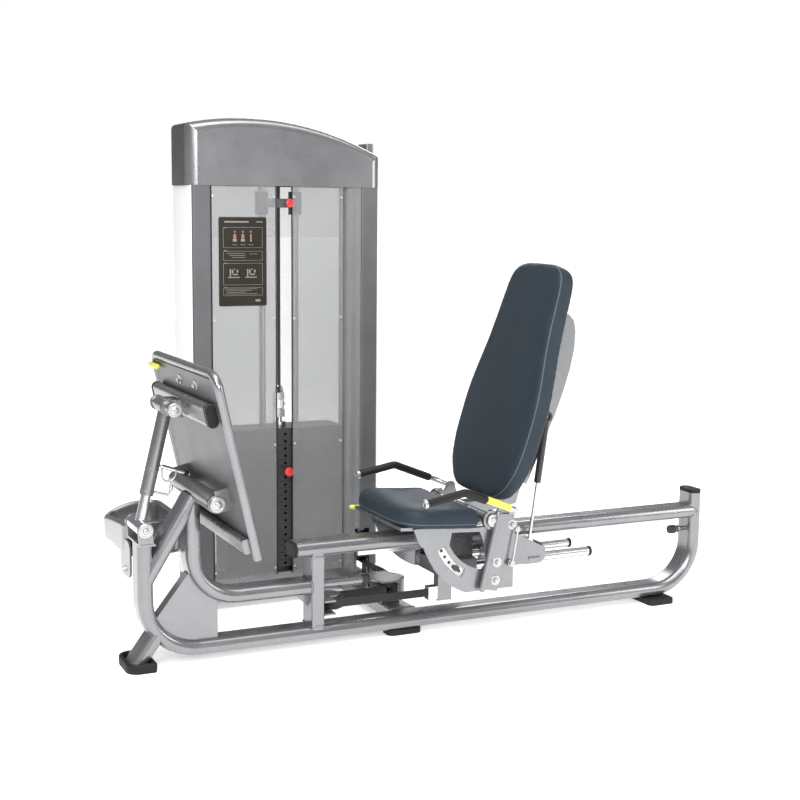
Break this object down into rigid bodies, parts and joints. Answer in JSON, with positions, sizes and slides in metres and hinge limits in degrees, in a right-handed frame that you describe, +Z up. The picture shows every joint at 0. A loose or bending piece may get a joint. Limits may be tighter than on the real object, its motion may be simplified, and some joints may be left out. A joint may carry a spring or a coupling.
{
  "type": "seated leg press machine",
  "caption": "Seated leg press with a sliding seat carriage on a tubular frame, a tilting foot plate and a belt-driven weight-stack tower.",
  "frame": {"origin": "on the floor, under the middle of the machine's overall length and width", "axes": "+X along the seat rail away from the foot plate, +Y towards the weight tower, +Z up"},
  "size_m": [1.9214, 0.936, 1.5369],
  "materials": {
    "silver_paint": "metallic silver powder coat",
    "dark_paint": "satin dark grey powder coat",
    "frosted_acrylic": "frosted translucent acrylic",
    "black_rubber": "matt black rubber",
    "stop_rubber": "steel stop tubes with black rubber ends",
    "chrome": "polished chrome plate",
    "stack_iron": "black painted iron plate",
    "red_knob": "gloss red knob on a chrome pin",
    "black_belt": "ribbed black drive belt",
    "black_nylon": "black nylon",
    "placard_black": "dark placard with plain panels",
    "upholstery": "slate blue-grey vinyl upholstery",
    "yellow_plastic": "yellow coated lever",
    "black_paint": "gloss black cylinder"
  },
  "bodies": {
    "frame": {"base_tube": "silver_paint", "seat_rail": "silver_paint", "loop_tube": "silver_paint", "rail_post": "silver_paint", "gussets": "silver_paint", "front_leg": "silver_paint", "pivot_support": "silver_paint", "strut_anchor": "silver_paint", "tray": "silver_paint", "cross_beam": "silver_paint", "guide_strip": "chrome", "travel_stops": "stop_rubber", "end_caps": "black_rubber", "rubber_feet": "black_rubber", "pulley_brackets": "silver_paint", "tower_posts": "dark_paint", "tower_base": "silver_paint", "tower_cap": "silver_paint", "front_panels": "frosted_acrylic", "tower_panels": "frosted_acrylic", "placard": "placard_black", "guide_rods": "chrome", "top_frame": "silver_paint", "rest_cushions": "black_rubber", "resting_plates": "stack_iron", "belt_runs": "black_belt", "near_belt": "black_belt", "lift_belt": "black_belt"},
    "stack": {"selected_plates": "stack_iron", "selector_stem": "chrome"},
    "selector": {"selector_pin": "red_knob"},
    "addon": {"addon_weight": "dark_paint"},
    "addon_knob": {"addon_pin": "red_knob"},
    "left_pulley": {"left_pulley": "black_nylon"},
    "right_pulley": {"right_pulley": "black_nylon"},
    "lower_pulley": {"lower_pulley": "black_nylon"},
    "rise_pulley": {"rise_pulley": "black_nylon"},
    "drop_pulley": {"drop_pulley": "black_nylon"},
    "shuttle": {"shuttle_chassis": "silver_paint", "push_rods": "chrome", "belt_clamp": "chrome"},
    "front_roller": {"front_roller": "black_nylon"},
    "rear_roller": {"rear_roller": "black_nylon"},
    "carriage": {"carriage_frame": "silver_paint", "seat_pad": "upholstery", "handle_bars": "chrome", "grips": "black_rubber"},
    "seat_lever": {"seat_lever": "yellow_plastic"},
    "recline_lever": {"recline_lever": "yellow_plastic"},
    "backrest": {"backrest_frame": "silver_paint", "back_pad": "upholstery", "back_shell": "silver_paint"},
    "gas_rod": {"gas_rod": "chrome"},
    "gas_cylinder": {"gas_cylinder": "black_paint"},
    "foot_plate": {"foot_frame": "silver_paint", "foot_panel": "silver_paint", "foot_crossbar": "silver_paint"},
    "strut_rod": {"strut_lower": "chrome"},
    "strut_tube": {"strut_upper": "silver_paint"},
    "strut_lever": {"strut_lever": "chrome"}
  },
  "joints": [
    {"name": "carriage_travel", "type": "slide", "parent": "frame", "child": "shuttle", "axis": [1, 0, 0], "range_m": [0, 0.4], "deforming": ["near_belt"]},
    {"name": "stack_lift", "type": "slide", "parent": "frame", "child": "stack", "axis": [0, 0, 1], "range_m": [0, 0.4], "deforming": ["lift_belt"]},
    {"name": "selector_pull", "type": "slide", "parent": "stack", "child": "selector", "axis": [0, -1, 0], "range_m": [0, 0.09]},
    {"name": "addon_drop", "type": "slide", "parent": "frame", "child": "addon", "axis": [0, 0, 1], "range_m": [-0.6, 0]},
    {"name": "addon_pull", "type": "slide", "parent": "addon", "child": "addon_knob", "axis": [0, -1, 0], "range_m": [0, 0.05]},
    {"name": "seat_adjust", "type": "slide", "parent": "shuttle", "child": "carriage", "axis": [1, 0, 0], "range_m": [-0.06, 0.1]},
    {"name": "seat_unlock", "type": "hinge", "parent": "carriage", "child": "seat_lever", "pos_m": [-0.10875, 0.044, 0.334], "axis": [0, 1, 0], "range_deg": [0, 5.5], "stiffness_Nm_per_rad": 1.5, "springref_deg": -11.46},
    {"name": "backrest_recline", "type": "hinge", "parent": "carriage", "child": "backrest", "pos_m": [0.09525, -0.156, 0.364], "axis": [0, 1, 0], "range_deg": [-8, 10]},
    {"name": "recline_release", "type": "hinge", "parent": "carriage", "child": "recline_lever", "pos_m": [0.13725, -0.396, 0.4], "axis": [0, 1, 0], "range_deg": [0, 8], "stiffness_Nm_per_rad": 1.5, "springref_deg": -11.46},
    {"name": "gas_swing", "type": "hinge", "parent": "carriage", "child": "gas_rod", "pos_m": [0.29225, -0.216, 0.254], "axis": [0, 1, 0], "range_deg": [-6.45, 8.06]},
    {"name": "gas_stroke", "type": "slide", "parent": "gas_rod", "child": "gas_cylinder", "axis": [0.1385, 0, 0.9904], "range_m": [-0.03745, 0.02996]},
    {"name": "foot_plate_tilt", "type": "hinge", "parent": "frame", "child": "foot_plate", "pos_m": [-0.74475, -0.156, 0.483], "axis": [0, 1, 0], "range_deg": [-8, 10]},
    {"name": "strut_swing", "type": "hinge", "parent": "frame", "child": "strut_rod", "pos_m": [-0.90675, -0.156, 0.398], "axis": [0, 1, 0], "range_deg": [-5.23, 6.53]},
    {"name": "strut_stroke", "type": "slide", "parent": "strut_rod", "child": "strut_tube", "axis": [0.2376, 0, 0.9714], "range_m": [-0.01953, 0.02442]},
    {"name": "strut_release", "type": "hinge", "parent": "strut_tube", "child": "strut_lever", "pos_m": [-0.84402, -0.156, 0.55973], "axis": [0, 1, 0], "range_deg": [0, 12], "stiffness_Nm_per_rad": 1.5, "springref_deg": -11.46},
    {"name": "left_pulley_spin", "type": "hinge", "parent": "frame", "child": "left_pulley", "pos_m": [-0.32875, -0.1155, 0.112], "axis": [0, 0, 1], "range_deg": [0, 570.9]},
    {"name": "right_pulley_spin", "type": "hinge", "parent": "frame", "child": "right_pulley", "pos_m": [-0.10275, -0.0235, 0.112], "axis": [0, 0, 1], "range_deg": [-450, 0]},
    {"name": "lower_pulley_spin", "type": "hinge", "parent": "frame", "child": "lower_pulley", "pos_m": [-0.05125, 0.3025, 0.1585], "axis": [1, 0, 0], "range_deg": [-497.9, 0]},
    {"name": "rise_pulley_spin", "type": "hinge", "parent": "frame", "child": "rise_pulley", "pos_m": [-0.09775, 0.349, 1.4], "axis": [0, 1, 0], "range_deg": [0, 497.9]},
    {"name": "drop_pulley_spin", "type": "hinge", "parent": "frame", "child": "drop_pulley", "pos_m": [-0.26925, 0.349, 1.4], "axis": [0, 1, 0], "range_deg": [0, 497.9]},
    {"name": "front_roller_spin", "type": "hinge", "parent": "shuttle", "child": "front_roller", "pos_m": [-0.00875, -0.156, 0.3239], "axis": [0, 1, 0], "range_deg": [0, 1914.9]},
    {"name": "rear_roller_spin", "type": "hinge", "parent": "shuttle", "child": "rear_roller", "pos_m": [0.08125, -0.156, 0.3239], "axis": [0, 1, 0], "range_deg": [0, 1914.9]}
  ],
  "couplings": [
    {"joint": "stack_lift", "follows": "carriage_travel", "ratio": 1},
    {"joint": "gas_swing", "follows": "backrest_recline", "ratio": 0.79052},
    {"joint": "gas_stroke", "follows": "backrest_recline", "m_per_rad": -0.21034},
    {"joint": "strut_swing", "follows": "foot_plate_tilt", "ratio": 0.64038},
    {"joint": "strut_stroke", "follows": "foot_plate_tilt", "m_per_rad": 0.13716},
    {"joint": "left_pulley_spin", "follows": "carriage_travel", "rad_per_m": 24.691},
    {"joint": "right_pulley_spin", "follows": "carriage_travel", "rad_per_m": -19.417},
    {"joint": "lower_pulley_spin", "follows": "carriage_travel", "rad_per_m": -21.505},
    {"joint": "rise_pulley_spin", "follows": "carriage_travel", "rad_per_m": 21.505},
    {"joint": "drop_pulley_spin", "follows": "carriage_travel", "rad_per_m": 21.505},
    {"joint": "front_roller_spin", "follows": "carriage_travel", "rad_per_m": 83.333},
    {"joint": "rear_roller_spin", "follows": "carriage_travel", "rad_per_m": 83.333}
  ]
}
